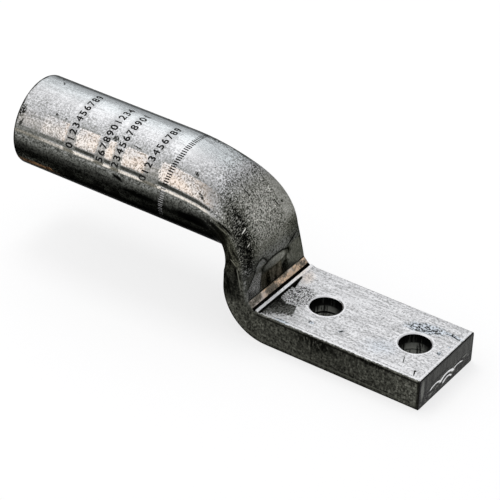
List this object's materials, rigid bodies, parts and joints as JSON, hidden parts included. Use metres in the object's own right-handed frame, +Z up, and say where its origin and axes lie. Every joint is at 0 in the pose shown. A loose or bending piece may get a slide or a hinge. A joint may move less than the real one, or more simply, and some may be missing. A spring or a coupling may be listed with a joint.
{
  "type": "two-hole compression lug",
  "caption": "One-piece aluminium cable lug: a round open barrel that bends down and flattens into a thick rectangular pad with bolt holes in a line.",
  "frame": {"origin": "midway between the two bolt holes, on the pad's flat contact face", "axes": "+X along the lug towards the pad's end, with the barrel towards -X; +Y across the pad; +Z up, out of the pad's top face"},
  "size_m": [0.2131, 0.0444, 0.0716],
  "materials": {
    "drawn_aluminium": "bare drawn and pressed aluminium, satin with lengthwise streaks on the barrel, grainy at the bend and bright on the pad"
  },
  "bodies": {
    "root": {"lug_body": "drawn_aluminium"}
  },
  "joints": []
}
